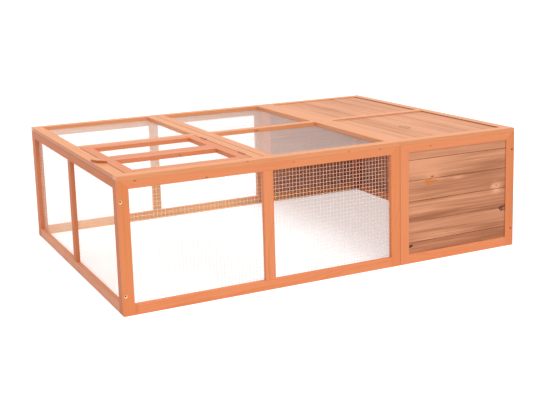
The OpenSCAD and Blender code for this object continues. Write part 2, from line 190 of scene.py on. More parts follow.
def srgb(code):
    """A linear colour from an sRGB hex code."""
    parts = [int(code[i:i + 2], 16) / 255 for i in (0, 2, 4)]
    return tuple(p / 12.92 if p <= 0.04045 else ((p + 0.055) / 1.055) ** 2.4 for p in parts)


# ---- Stained timber -------------------------------------------------------------------------
AXES = {"X": (0, 1, 2), "Y": (1, 2, 0), "Z": (2, 0, 1)}     # the grain's own axis comes first
EULER = 2.718
PITH_DRIFT_U, PITH_DRIFT_V = 0.045, 0.06      # how far the pith wanders across the grain
PITH_SCALE_U, PITH_SCALE_V, PITH_SCALE_ACROSS = 2.2, 1.7, 6.0
PITH_SPREAD_U, PITH_SPREAD_V, PITH_BELOW = 0.09, 0.05, 0.035
SECOND_NOISE = (7.3, 3.1, 5.7)  # moves to a part of the same noise that looks unrelated
PITH_MOVE, BAND_MOVE, THREAD_MOVE = 31.0, 17.0, 23.0    # how far a board's noises are moved
RING_SHADE = ((0.0, 0.0), (0.62, 0.25), (0.9, 1.0), (1.0, 0.1))
BAND_LONG, BAND_FINE, BAND_SHARE = 1.3, 30.0, 2.2
THREAD_LONG, THREAD_FINE = 3.2, 170.0
THREAD_SHADE = ((0.32, 0.0), (0.44, 0.5), (0.58, 0.5), (0.70, 1.0))
FIBRE_LONG, FIBRE_FINE, FIBRE_SHARE = 7.0, 420.0, 0.32
CLOUD_SCALE, CLOUD_SHARE = 5.0, 0.35
BOARD_TONE = 0.34               # how far boards differ from each other
DARK_SHARE = 0.10               # every stain holds this much of its dark colour
KNOT_RING, KNOT_RING_TONE, KNOT_LONG = 0.0016, 0.5, 2.1
KNOT_WOBBLE, KNOT_WARP, KNOT_BEND = 0.7, 2.4, 0.9
KNOT_CORE = ((0.35, 0.0), (0.75, 1.0))
KNOT_RIM = ((0.30, 0.0), (0.45, 1.0), (0.58, 1.0), (0.80, 0.15))
# painted shade along joints: its colour, and how far it reaches from the second plane
SEAM_SHADE_COLOUR, SEAM_DEEP = srgb("7a3414"), 0.004
# painted shade along each board's V groove, varying along it and from groove to groove
GROOVE_SHADE_COLOUR = srgb("8a4a28")
GROOVE_REACH = 0.0026           # how far painted shade darkens each side of a board's V groove
GROOVE_SHADE_CHANGES = 9.0               # changes of the painted shade in a metre of groove
GROOVE_SHADE_GAIN, GROOVE_SPREAD, GROOVE_SHADE_OFFSET = 1.1, 0.5, -0.35
RAW_WOOD = srgb("ffdba8")
BARE_R = 0.0054                 # raw wood shows inside a countersink of about this radius
BARE_EDGE, BARE_FRAY = 6000.0, 0.0007
# how far from its plane a face's painted light fades
PAINTED_LIGHT_DEEP = 0.004
ROUGH_SPREAD, ROUGH_DROP = 0.22, 0.08
FIBRE_RELIEF, RING_RELIEF = 0.5, -0.35
BUMP_STRENGTH, BUMP_HEIGHT = 0.25, 0.0004


def bell(g, place, middle, reach):
    """1 at a point, falling off smoothly; reach is the width along each axis."""
    away = g.vector("DIVIDE", g.vector("SUBTRACT", place, tuple(middle)), reach)
    far = g.vector("LENGTH", away)
    return g.math("POWER", EULER, g.mul(g.mul(far, far), -0.5))


def line(g, xyz, axis, value, width):
    """1 on the plane where a coordinate has a value, fading out within width."""
    off = g.math("ABSOLUTE", g.add(xyz["XYZ".index(axis)], -value))
    return g.math("SUBTRACT", 1.0, g.mul(off, 1 / width), clamp=True)


def board_marks(g, xyz, along, boards, seed):
    """Two random numbers for each board, and the painted shade in the grooves between them."""
    axis, first, width = boards
    step = g.mul(g.add(xyz["XYZ".index(axis)], -first), 1 / width)
    board = g.math("FLOOR", step)
    pick, pick2 = g.random(g.add(board, seed)), g.random(g.add(board, seed + 50))
    off_edge = g.math("PINGPONG", g.mul(step, width), width / 2)
    edge = g.math("SUBTRACT", 1.0, g.mul(off_edge, 1 / GROOVE_REACH), clamp=True)
    joint = g.math("ROUND", step)
    shade_change = g.noise(g.combine(g.mul(along, GROOVE_SHADE_CHANGES), joint, seed), 1.0, 1.0)
    shade_level = g.mad(g.random(g.add(joint, seed + 90)), GROOVE_SPREAD, GROOVE_SHADE_OFFSET)
    return pick, pick2, g.math("MULTIPLY", edge, g.mad(shade_change, GROOVE_SHADE_GAIN, shade_level), clamp=True)


def pith_distance(g, along, u, v, pick, pick2, seed):
    """Distance from a pith line that wanders slowly along the grain."""
    slow = g.combine(g.add(along, g.mul(pick, PITH_MOVE)), g.mul(u, PITH_SCALE_ACROSS),
                     g.mul(v, PITH_SCALE_ACROSS))
    wander_u = g.mul(g.add(g.noise(slow, PITH_SCALE_U, 1.0), -0.5), PITH_DRIFT_U)
    shifted = g.vector("ADD", slow, SECOND_NOISE)
    wander_v = g.mul(g.add(g.noise(shifted, PITH_SCALE_V, 1.0), -0.5), PITH_DRIFT_V)
    pith_u = g.mad(pick, PITH_SPREAD_U, -PITH_SPREAD_U / 2 + 0.01 * seed % 0.02)
    pith_v = g.mad(pick2, PITH_SPREAD_V, PITH_BELOW)
    return g.vector("LENGTH", g.combine(0.0, g.add(g.add(u, wander_u), pith_u),
                                        g.add(g.add(v, wander_v), pith_v)))


def bend_round_knots(g, place, grain, radius, knots):
    """Bends the rings round each knot. Returns the radius and each knot's (mask, colour)."""
    eyes = []
    for point, size, darkness, colour in knots:
        stops = KNOT_CORE if size > 0 else KNOT_RIM
        size = abs(size)
        reach = tuple(size * (KNOT_LONG if i == AXES[grain][0] else 1.0) for i in range(3))
        wobble = g.noise(place, KNOT_WOBBLE / size, 1.0)
        frayed = g.warped(place, g.mul(g.add(wobble, -0.5), size * KNOT_WARP))
        near = bell(g, frayed, point, reach)
        radius = g.mad(near, size * KNOT_BEND, radius)
        eyes.append((g.mul(g.ramp(near, *stops), darkness), colour))
    return radius, eyes


def grain_noises(g, place, along, u, v, grain, pick, pick2):
    """Fibres, broad bands and thin threads that run with the grain."""
    fine = g.vector("MULTIPLY", place, tuple(FIBRE_LONG if i == AXES[grain][0] else FIBRE_FINE
                                             for i in range(3)))
    fibre = g.noise(fine, 1.0, 3.0, 0.65)
    broad = g.combine(g.mad(along, BAND_LONG, g.mul(pick2, BAND_MOVE)), g.mul(u, BAND_FINE),
                      g.mul(v, BAND_FINE))
    band = g.noise(broad, 1.0, 4.0, 0.62, 0.5)
    thin = g.combine(g.mul(along, THREAD_LONG),
                     g.mad(u, THREAD_FINE, g.mul(pick, THREAD_MOVE)), g.mul(v, THREAD_FINE))
    return fibre, band, g.ramp(g.noise(thin, 1.0, 2.0, 0.5, 0.3), *THREAD_SHADE)


def weigh(g, value, weight, share):
    """Adds a value that varies round one half to a share."""
    return g.mad(g.add(value, -0.5), weight, share)


def timber(name, grain, pale, dark, seed, rings=0.0042, contrast=0.28, bands=0.3, threads=0.25,
           roughness=0.42, sheen=0.5, boards=None, knots=(), patches=(), seams=(), screws=(),
           painted_side_shade=0.0, painted_light=()):
    """Stained softwood whose grain runs along one axis.

    Growth rings are shells round a pith line that wanders beside the timber, so faces show
    straight or arched lines and ends show arcs. boards is (axis, first, width), which gives
    each board its own pith and tone and painted shade in the V groove at its edges. A knot is
    (point, size, darkness, colour), and one with a negative size shows only its dark rim. A
    patch is (point, reach, amount), paler where the amount is negative. A seam is (axis, value,
    width, axis, value, darkness): painted shade along the edge where the two planes meet.
    screws are points on the axes, along Y, of the countersinks that show raw wood.
    painted_side_shade darkens the faces that don't look up, as painted shade. painted_light is
    (axis, value, colour, share): how much of a paler colour, painted light, the face in that
    plane has.
    """
    g = Graph(name)
    place = g.node("ShaderNodeTexCoord").outputs["Object"]
    xyz = g.split(place)
    along, u, v = (xyz[i] for i in AXES[grain])
    if boards:
        pick, pick2, groove = board_marks(g, xyz, along, boards, seed)
    else:
        pick, pick2, groove = seed * 0.37 % 1, seed * 0.71 % 1, None
    radius = pith_distance(g, along, u, v, pick, pick2, seed)
    radius, eyes = bend_round_knots(g, place, grain, radius, knots)
    late = g.ramp(g.math("FRACT", g.mul(radius, 1 / rings)), *RING_SHADE)
    fibre, band, thread = grain_noises(g, place, along, u, v, grain, pick, pick2)

    share = g.mad(late, contrast, g.mul(g.add(band, -0.5), bands * BAND_SHARE))
    share = weigh(g, thread, threads, share)
    share = weigh(g, fibre, FIBRE_SHARE, share)
    share = weigh(g, g.noise(place, CLOUD_SCALE, 2.0), CLOUD_SHARE, share)
    if boards:
        share = weigh(g, pick2, BOARD_TONE, share)
    for point, reach, amount in patches:
        share = g.mad(bell(g, place, point, reach), amount, share)
    # painted shade: the faces that don't look up are darkened, as shade on a member's sides
    if painted_side_shade:
        facing = g.split(g.node("ShaderNodeNewGeometry").outputs["Normal"])[2]
        share = g.mad(g.math("SUBTRACT", 1.0, facing, clamp=True), painted_side_shade, share)
    colour = g.mix(g.math("ADD", share, DARK_SHARE, clamp=True), pale, dark)

    # painted light: a paler colour on the faces in the given planes, standing in for light that
    # reaches them
    for axis, value, tone, much in painted_light:
        colour = g.mix(g.mul(line(g, xyz, axis, value, PAINTED_LIGHT_DEEP), much), colour, tone)
    for eye, tone in eyes:
        ringed = g.mul(g.math("FRACT", g.mul(radius, 1 / KNOT_RING)), KNOT_RING_TONE)
        knot = g.mix(ringed, tone, tuple(c * KNOT_RING_TONE for c in tone))
        colour = g.mix(eye, colour, knot)
    # painted shade: dark lines where two planes meet at a joint
    for axis, value, width, axis2, value2, darkness in seams:
        near = g.mul(line(g, xyz, axis, value, width), line(g, xyz, axis2, value2, SEAM_DEEP))
        colour = g.mix(g.mul(near, darkness), colour, SEAM_SHADE_COLOUR)
    # painted shade along the boards' V grooves
    if groove is not None:
        colour = g.mix(groove, colour, GROOVE_SHADE_COLOUR)
    for point in screws:
        away = g.combine(g.add(xyz[0], -point.x), 0.0, g.add(xyz[2], -point.z))
        rim = weigh(g, fibre, BARE_FRAY, g.vector("LENGTH", away))
        bare = g.math("MULTIPLY", g.add(BARE_R, g.mul(rim, -1.0)), BARE_EDGE, clamp=True)
        colour = g.mix(bare, colour, RAW_WOOD)
    rough = g.mad(fibre, ROUGH_SPREAD, roughness - ROUGH_DROP)
    relief = g.mad(fibre, FIBRE_RELIEF, g.mul(late, RING_RELIEF))
    return g.surface(colour, rough, relief, BUMP_STRENGTH, BUMP_HEIGHT,
                     **{"Specular IOR Level": sheen})


# ---- Metal ----------------------------------------------------------------------------------
SPANGLE_SCALE = 900.0
SPANGLE_SHADE = ((0.35, 0.0), (0.65, 1.0))
SHINE_SPREAD, SHINE_DROP = 0.25, 0.12
METAL_BUMP, METAL_BUMP_HEIGHT = 0.15, 0.0001


def metal(name, colour, roughness, patch=0.12):
    """Plated steel: spangled tone and uneven shine. patch is how far the tone varies."""
    g = Graph(name)
    place = g.node("ShaderNodeTexCoord").outputs["Object"]
    spangle = g.noise(place, SPANGLE_SCALE, 3.0, 0.6)
    dull = tuple(c * (1 - patch * 2) for c in colour)
    tint = g.mix(g.ramp(spangle, *SPANGLE_SHADE), dull, colour)
    rough = g.mad(spangle, SHINE_SPREAD, roughness - SHINE_DROP)
    return g.surface(tint, rough, spangle, METAL_BUMP, METAL_BUMP_HEIGHT, Metallic=1.0)


# ---- Building pieces ------------------------------------------------------------------------
def piece(name, verts, faces, material, body, smooth=False):
    """Adds a mesh with one material that rides a body of the frame."""
    mesh = bpy.data.meshes.new(name)
    mesh.from_pydata([tuple(v) for v in verts], [], faces)
    mesh.update()
    if smooth:
        mesh.shade_smooth()
    mesh.materials.append(material)
    made = bpy.data.objects.new(name, mesh)
    bpy.context.scene.collection.objects.link(made)
    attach(made, body)
    return made


def tube(verts, faces, points, radius, sides, across, flat=1.0):
    """Adds a closed tube along points; across is a direction that no stretch of it follows.

    flat squeezes the section along the direction that is square to across.
    """
    start = len(verts)
    last = len(points) - 1
    for i, point in enumerate(points):
        run = (points[min(i + 1, last)] - points[max(i - 1, 0)]).normalized()
        side = run.cross(across).normalized()
        rise = side.cross(run)
        for k in range(sides):
            turn = 2 * math.pi * (k + 0.5) / sides
            verts.append(point + radius * (side * math.cos(turn) * flat + rise * math.sin(turn)))
    for i in range(last):
        for k in range(sides):
            a, b = start + i * sides + k, start + i * sides + (k + 1) % sides
            faces.append((a, a + sides, b + sides, b))
    faces.append(tuple(range(start, start + sides)))
    end = start + last * sides
    faces.append(tuple(reversed(range(end, end + sides))))


# ---- Welded wire nets -----------------------------------------------------------------------
WIRE_PITCH = 0.0127
WIRE_R = 0.00045
WIRE_SINK = 0.35                # share of a wire's thickness that the weld sinks it
WIRE_SIDES = 6
BELLY, BELLY_SHAPE = 0.0011, 0.8    # how far a net bulges between the members that hold it
FIRST_WIRE = 0.002, 0.009       # how far from a net's edge its first wire lies
END_TRIM = 0.0015               # a wire's ends are cut short by up to this much
WIRE_DRIFT, WIRE_SLOPE, WIRE_SHAKE = 0.00018, 0.0004, 0.00007
BLOB_R, BLOB_FLAT = WIRE_R * 1.2, 0.8
BLOB_SPREAD = 0.85, 1.1


def octahedron(verts, faces, middle, sizes):
    """Adds the blob of metal at a weld."""
    start = len(verts)
    for axis in range(3):
        for way in (1, -1):
            corner = middle.copy()
            corner[axis] += way * sizes[axis]
            verts.append(corner)
    for x in (0, 1):
        for y in (2, 3):
            for z in (4, 5):
                tri = (start + x, start + y, start + z)
                faces.append(tri if (x + y + z) % 2 == 0 else tri[::-1])


def wire_net(name, node, body, material, inward, seed, holds):
    """Welded square net in the place of a CAD net.

    inward points from the timber to the open side. holds are the coordinates (axis, value) of
    the members that it is stapled to; between them it bellies out a little.
    """
    rng = random.Random(seed)
    lo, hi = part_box(node)
    normal = [abs(c) > 0.5 for c in inward].index(True)
    across, up = [i for i in range(3) if i != normal]
    sign = 1 if inward[normal] > 0 else -1
    base = lo[normal] if sign > 0 else hi[normal]
    verts, faces = [], []

    def sag(axis, value):
        stops = sorted({lo[axis], hi[axis], *(v for a, v in holds if a == axis)})
        for low, high in zip(stops, stops[1:]):
            if low <= value <= high:
                return math.sin(math.pi * (value - low) / (high - low)) ** BELLY_SHAPE
        return 0.0

    def point(a, b, depth):
        p = Vector((0, 0, 0))
        p[across], p[up] = a, b
        p[normal] = base + sign * (depth + BELLY * sag(across, a) * sag(up, b))
        return p

    depths = {across: WIRE_R, up: WIRE_R * (3 - 2 * WIRE_SINK)}
    grid = {}
    for axis in (across, up):
        offset = rng.uniform(*FIRST_WIRE)
        count = int((hi[axis] - lo[axis] - offset) / WIRE_PITCH) + 1
        grid[axis] = [lo[axis] + offset + i * WIRE_PITCH for i in range(count)]
    side = Vector((0, 0, 0))
    side[normal] = 1
    for along, cross in ((across, up), (up, across)):
        for place in grid[cross]:
            drift, slope = rng.gauss(0, WIRE_DRIFT), rng.gauss(0, WIRE_SLOPE)
            ends = lo[along] + rng.uniform(0, END_TRIM), hi[along] - rng.uniform(0, END_TRIM)
            points = []
            for s in (ends[0], *grid[along][1:-1:2], ends[1]):
                lean = slope * ((s - ends[0]) / (ends[1] - ends[0]) - 0.5)
                here = place + drift + lean + rng.gauss(0, WIRE_SHAKE)
                pair = (s, here) if along == across else (here, s)
                points.append(point(*pair, depths[along]))
            tube(verts, faces, points, WIRE_R, WIRE_SIDES, side)
    middle = (depths[across] + depths[up]) / 2
    for a in grid[across]:
        for b in grid[up]:
            sizes = [BLOB_R * (BLOB_FLAT if axis == normal else 1.0)
                     * rng.uniform(*BLOB_SPREAD) for axis in range(3)]
            octahedron(verts, faces, point(a, b, middle), sizes)
    net = piece(name, verts, faces, material, body, smooth=True)
    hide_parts(node)


# ---- Staples --------------------------------------------------------------------------------
STAPLE_W, STAPLE_LEG, STAPLE_ROUND = 0.0095, 0.006, 0.0009
STAPLE_WIRE, STAPLE_SIDES, STAPLE_FLAT = 0.00062, 6, 0.55
STAPLE_SHOULDER = 0.6           # share of the crown's height where its corners begin
STAPLE_STEP, STAPLE_STRAY = 0.085, 0.16
STAPLE_LEAN, STAPLES_ACROSS = 0.6, 0.25       # a quarter of them sit across the row


def staples(name, body, material, inward, seed, rows):
    """Fence staples over a net's edge, in rows from one point to another on the timber."""
    rng = random.Random(seed)
    inward = Vector(inward)
    verts, faces = [], []
    crown = WIRE_R * (4 - 2 * WIRE_SINK) + STAPLE_WIRE
    for start, end in rows:
        run = end - start
        count = max(2, round(run.length / STAPLE_STEP))
        for i in range(count):
            share = (i + 0.5 + rng.uniform(-STAPLE_STRAY, STAPLE_STRAY)) / count
            middle = start + run * share
            lean = rng.uniform(-STAPLE_LEAN, STAPLE_LEAN)
            lean += math.pi / 2 if rng.random() < STAPLES_ACROSS else 0
            along = (Matrix.Rotation(lean, 3, inward) @ run).normalized()
            half = along * STAPLE_W / 2
            round_off = along * STAPLE_ROUND
            points = [middle - half - inward * STAPLE_LEG,
                      middle - half + inward * crown * STAPLE_SHOULDER,
                      middle - half + round_off + inward * crown,
                      middle + half - round_off + inward * crown,
                      middle + half + inward * crown * STAPLE_SHOULDER,
                      middle + half - inward * STAPLE_LEG]
            tube(verts, faces, points, STAPLE_WIRE, STAPLE_SIDES, along.cross(inward),
                 STAPLE_FLAT)
    piece(name, verts, faces, material, body)


# ---- Cross-recess screws --------------------------------------------------------------------
RING = 28                       # corners of each ring of a screw
ARM_W = 0.24                    # half the width of a recess's arm, as a share of its reach
PIT_TAPER, PIT_DEEP = 0.45, 0.85


def add_screw(verts, faces, top, outward, turn, recess, profile):
    """Adds a screw. profile lists (radius, height) from the ring round the recess to the tip."""
    axis = outward.normalized()
    first = axis.orthogonal().normalized()
    first = Matrix.Rotation(turn, 3, axis) @ first
    second = axis.cross(first)

    def put(x, y, z):
        verts.append(top + first * x + second * y + axis * z)
        return len(verts) - 1

    arm, half = recess, recess * ARM_W
    quarter = [(arm, -half), (arm, half), (half, half)]
    cross = []
    for k in range(4):
        c, s = round(math.cos(k * math.pi / 2)), round(math.sin(k * math.pi / 2))
        cross += [(x * c - y * s, x * s + y * c) for x, y in quarter]
    height = profile[0][1]
    circle = [(math.cos(2 * math.pi * k / RING), math.sin(2 * math.pi * k / RING))
              for k in range(RING)]
    rings = [[put(r * x, r * y, z) for x, y in circle] for r, z in profile]
    lip = [put(x, y, height) for x, y in cross]
    pit = [put(x * PIT_TAPER, y * PIT_TAPER, height - recess * PIT_DEEP) for x, y in cross]
    flat = [Vector((profile[0][0] * x, profile[0][0] * y, 0)) for x, y in circle]
    hole = [Vector((x, y, 0)) for x, y in cross]
    numbers, spots = rings[0] + lip, flat + hole
    for tri in tessellate_polygon([flat, hole]):
        a, b, c = (spots[i] for i in tri)
        up = (b - a).cross(c - a).z > 0
        faces.append(tuple(numbers[i] for i in (tri if up else tri[::-1])))
    for k in range(len(cross)):
        n = (k + 1) % len(cross)
        faces.append((lip[k], lip[n], pit[n], pit[k]))
    faces.append(tuple(pit))
    for upper, lower in zip(rings, rings[1:]):
        for k in range(RING):
            n = (k + 1) % RING
            faces.append((upper[k], lower[k], lower[n], upper[n]))
    faces.append(tuple(reversed(rings[-1])))


# in mm: (radius, height) from the ring round the recess to the tip
CORNER_SCREW = [(2.2, 0), (2.8, -0.1), (3.0, -0.3), (1.75, -1.5), (1.75, -31), (0.3, -34)]
BUTTON_SCREW = [(2.4, 0), (3.2, -0.25), (3.65, -0.8), (3.8, -1.5), (3.8, -2.2), (1.8, -2.2),
                (1.8, -21.5), (0.3, -24.9)]
CORNER_RECESS, BUTTON_RECESS, BUTTON_TURN = 1.7, 2.0, 0.5
CORNER_SCREW_SINK = 3.5
SCREW_XS, SCREW_ZS = (9, 1491), (64, 360)
SCREW_SEED = 31


def in_metres(profile):
    return [(r * MM, z * MM) for r, z in profile]


def corner_screws(material):
    rng = random.Random(SCREW_SEED)
    verts, faces = [], []
    for x in SCREW_XS:
        for z in SCREW_ZS:
            for y, out in ((CORNER_SCREW_SINK, -1), (RUN_W / MM - CORNER_SCREW_SINK, 1)):
                add_screw(verts, faces, at(x, y, z), Vector((0, out, 0)),
                          rng.uniform(0, math.pi), CORNER_RECESS * MM, in_metres(CORNER_SCREW))
    made = piece("corner_cross_screws", verts, faces, material, "frame")
    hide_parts("corner_screws")


def button_screw(material):
    lo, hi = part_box("turn_button_screw")
    top = Vector(((lo[0] + hi[0]) / 2, (lo[1] + hi[1]) / 2, hi[2]))
    verts, faces = [], []
    add_screw(verts, faces, top, Vector((0, 0, 1)), BUTTON_TURN, BUTTON_RECESS * MM,
              in_metres(BUTTON_SCREW))
    made = piece("button_cross_screw", verts, faces, material, "frame")
    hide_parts("turn_button_screw")


# ---- Dressing the CAD solids ----------------------------------------------------------------
WELD_NEAR, CLOSE_NEAR = 0.00001, 0.000005
FLAT_DEG, SHARP_DEG = 1, 40     # nearly flat faces are joined, and sharper edges are rounded


def ease_edges(node, width):
    """Rounds a CAD solid's sharp edges a little, as sanded timber has them."""
    made = NODES[node]
    made.modifiers.new("weld", "WELD").merge_threshold = WELD_NEAR
    flat = made.modifiers.new("flat", "DECIMATE")
    flat.decimate_type = "DISSOLVE"
    flat.angle_limit = math.radians(FLAT_DEG)
    bevel = made.modifiers.new("bevel", "BEVEL")
    bevel.width = width
    bevel.segments = 2
    bevel.limit_method = "ANGLE"
    bevel.angle_limit = math.radians(SHARP_DEG)
    made.modifiers.new("close", "WELD").merge_threshold = CLOSE_NEAR


def dress(node, material, ease):
    """Gives a CAD solid its material and its eased edges."""
    made = NODES[node]
    made.data.materials.clear()
    made.data.materials.append(material)
    ease_edges(node, ease)


# ---- Timber palette and features ------------------------------------------------------------
FRAME = srgb("e38c5c"), srgb("cd723d")
ROOF_FRAME = srgb("e59760"), srgb("cd7a42")
# ROOF_EDGE is a paler copy of the roof stain for the roof's left rail: painted light on its top
ROOF_EDGE = srgb("ea9f6b"), srgb("cd7a42")
LID = srgb("de8450"), srgb("c66c39")
# SIDE is a darker copy of the frame stain for the side walls: painted shade
SIDE = srgb("d07641"), srgb("b25a2b")
SIDE_RAIL = srgb("dd8d60"), srgb("c47644")
# BACK is a paler copy of the frame stain for the back walls: painted light on their shaded faces
BACK = srgb("ec9863"), srgb("d67d46")
BOARD = srgb("dc9a74"), srgb("9f6342")
ROOF_BOARD = srgb("dc9a72"), srgb("ab6a46")
BUTTON = srgb("efa56f"), srgb("b3643a")
KNOT_BROWN, KNOT_ORANGE, KNOT_DARK = srgb("864618"), srgb("d2762c"), srgb("421804")
FLAKE = srgb("f4c09a")
# paler colours for painted light: the inner faces of the shelter, back and right walls, as
# bounced light, and the forward faces of the left wall's stiles
PAINTED_LIGHT_CORNER, PAINTED_LIGHT_SHELTER, PAINTED_LIGHT_RIGHT = srgb("ffa061"), srgb("ffb76e"), srgb("ffa565")
PAINTED_LIGHT_BACK, PAINTED_LIGHT_LEFT = srgb("edbc73"), srgb("d58862")
# each member and the way its grain runs
MEMBERS = {
    "front_side_stiles": "Z", "front_mid_stile": "Z", "front_top_rail": "X",
    "front_bottom_rail": "X", "back_side_stiles": "Z", "back_mid_stile": "Z",
    "back_top_rail": "X", "back_bottom_rail": "X", "left_side_stiles": "Z",
    "left_mid_stile": "Z", "left_top_rail": "Y", "left_bottom_rail": "Y",
    "right_side_stiles": "Z", "right_mid_stile": "Z", "right_top_rail": "Y",
    "right_bottom_rail": "Y", "shelter_front_stiles": "Z", "shelter_front_top_rail": "X",
    "shelter_front_bottom_rail": "X", "shelter_back_stiles": "Z",
    "shelter_back_top_rail": "X", "shelter_back_bottom_rail": "X", "roof_front_rail": "X",
    "roof_back_rail": "X", "roof_left_rail": "Y", "roof_transverse_rails": "Y",
    "roof_right_rail": "Y", "roof_cross_rail": "X", "roof_mid_rail": "X",
    "shelter_roof_front_rail": "X", "shelter_roof_back_rail": "X",
    "shelter_roof_side_rails": "Y", "shelter_roof_mid_rail": "X", "hatch_stiles": "Y",
    "hatch_end_rails": "X", "hatch_mid_rails": "X", "hatch_stops": "Y"}
KNOTS = {
    "front_top_rail": [(at(57, 0, 421), 0.0021, 0.8, KNOT_BROWN),
                       (at(291, 0, 403), 0.0020, 0.7, KNOT_BROWN),
                       (at(597, 0, 416), 0.0016, 0.6, KNOT_BROWN),
                       (at(926, 0, 422), 0.0024, 0.45, KNOT_BROWN)],
    "roof_front_rail": [(at(803, 0, 428), 0.0022, 0.4, KNOT_BROWN),
                        (at(432, 0, 437), 0.0020, 0.6, KNOT_BROWN)],
    "hatch_end_rails": [(at(298, 74, 440), 0.0036, 0.7, KNOT_DARK)],
    "shelter_front_top_rail": [(at(1132, 0, 412), 0.0018, 0.8, KNOT_BROWN)],
    "roof_mid_rail": [(at(720, 539, 432), 0.0040, 0.5, KNOT_BROWN)],
    "left_top_rail": [(at(0, 300, 404), 0.0030, 0.5, KNOT_BROWN)],
    "hatch_mid_rails": [(at(300, 250, 432), 0.0020, 0.5, KNOT_BROWN)],
    "back_top_rail": [(at(520, 1100, 408), 0.0030, 0.7, KNOT_BROWN)],
    "right_mid_stile": [(at(1500, 552, 250), 0.0035, 0.7, KNOT_BROWN)],
}
PATCHES = {
    "front_bottom_rail": [(at(42, 0, 19), (0.004, 0.05, 0.02), 0.55)],
    "front_mid_stile": [(at(503, 0, 300), (0.012, 0.05, 0.06), -0.15)],
    "shelter_front_stiles": [(at(1500, 0, 200), (0.03, 0.2, 0.4), 0.5)],
    "back_side_stiles": [(at(18, 1085, 215), (0.040, 0.006, 0.60), 1.0)],
}
LEFT, FRONT, ROOF_TOP = ("X", -RUN_L / 2), ("Y", -RUN_W / 2), ("Z", TOP_Z)
# painted shade lines along the joints and gaps between members
PANEL_JOINT = [("X", 0.256, 0.0014, *FRONT, 0.8)]
END_JOINT = [("Y", FRAME_T - RUN_W / 2, 0.0022, *LEFT, 0.75)]
SEAMS = {
    "front_side_stiles": PANEL_JOINT + END_JOINT, "shelter_front_stiles": PANEL_JOINT,
    "left_side_stiles": END_JOINT,
    "roof_left_rail": [("X", -0.712, 0.0022, *ROOF_TOP, 0.5),
                       ("Z", WALL_H, 0.0026, *LEFT, 0.55)],
    "left_top_rail": [("Z", WALL_H, 0.0026, *LEFT, 0.55)],
    "hatch_stiles": [("X", -0.710, 0.0022, *ROOF_TOP, 0.5),
                     ("X", -0.28325, 0.0026, *ROOF_TOP, 0.7)],
    "roof_transverse_rails": [("X", -0.244, 0.0030, *ROOF_TOP, 0.9)],
    "hatch_mid_rails": [("Y", -0.2615, 0.0014, *ROOF_TOP, 0.6)],
    "shelter_roof_side_rails": [("X", 0.712, 0.0016, *ROOF_TOP, 0.8)],
    "shelter_roof_mid_rail": [("Y", -0.029, 0.0016, *ROOF_TOP, 0.9)],
}
# painted shade: how much these members' faces that don't look up are darkened
PAINTED_SIDE_SHADE = {"roof_left_rail": 1.4, "roof_front_rail": 0.35, "shelter_roof_front_rail": 0.5}
ROOF_SHEEN, WALL_SHEEN, LEFT_SHEEN = 0.7, 0.3, 0.1
SHEENS = {"roof_left_rail": 0.25, "hatch_stiles": 0.4, "left_bottom_rail": 0.3,
          "front_side_stiles": 0.1}
INSIDE_BACK, INSIDE_RIGHT = ("Y", RUN_W / 2 - FRAME_T), ("X", RUN_L / 2 - FRAME_T)
# painted light on the faces in these planes: the inside of the back and right walls, and the
# forward faces of the left wall's stiles
PAINTED_LIGHT_FACES = {
    "shelter_back_stiles": [(*INSIDE_BACK, PAINTED_LIGHT_CORNER, 1.0)],
    "shelter_back_bottom_rail": [(*INSIDE_BACK, PAINTED_LIGHT_SHELTER, 1.0)],
    "right_bottom_rail": [(*INSIDE_RIGHT, PAINTED_LIGHT_RIGHT, 1.0)],
    "back_mid_stile": [(*INSIDE_BACK, PAINTED_LIGHT_BACK, 0.5)],
    "back_top_rail": [(*INSIDE_BACK, PAINTED_LIGHT_BACK, 0.5)],
    "back_bottom_rail": [(*INSIDE_BACK, PAINTED_LIGHT_BACK, 0.5)],
    "left_side_stiles": [("Y", 0.505, PAINTED_LIGHT_LEFT, 0.7)],
    "left_mid_stile": [("Y", -0.015, PAINTED_LIGHT_LEFT, 0.7)],
}
SCREWED = {"front_side_stiles": (SCREW_XS[0], 0), "back_side_stiles": (SCREW_XS[0], 1100),
           "shelter_back_stiles": (SCREW_XS[1], 1100)}
BOARD_KNOTS = [(at(1136, 4, 284), 0.0085, 0.75, KNOT_ORANGE),
               (at(1116, 4, 287), 0.0050, 0.60, KNOT_ORANGE),
               (at(1159, 4, 283), 0.0050, 0.65, KNOT_ORANGE),
               (at(1143, 4, 302), 0.0030, 0.75, KNOT_BROWN),
               (at(1416, 4, 232), 0.0070, 0.50, FLAKE),
               (at(1424, 4, 217), 0.0038, 0.70, FLAKE),
               (at(1424, 4, 234), 0.0022, 0.75, KNOT_BROWN),
               (at(1456, 4, 146), -0.0066, 0.95, KNOT_DARK),
               (at(1049, 4, 62), 0.0050, 0.95, KNOT_DARK)]
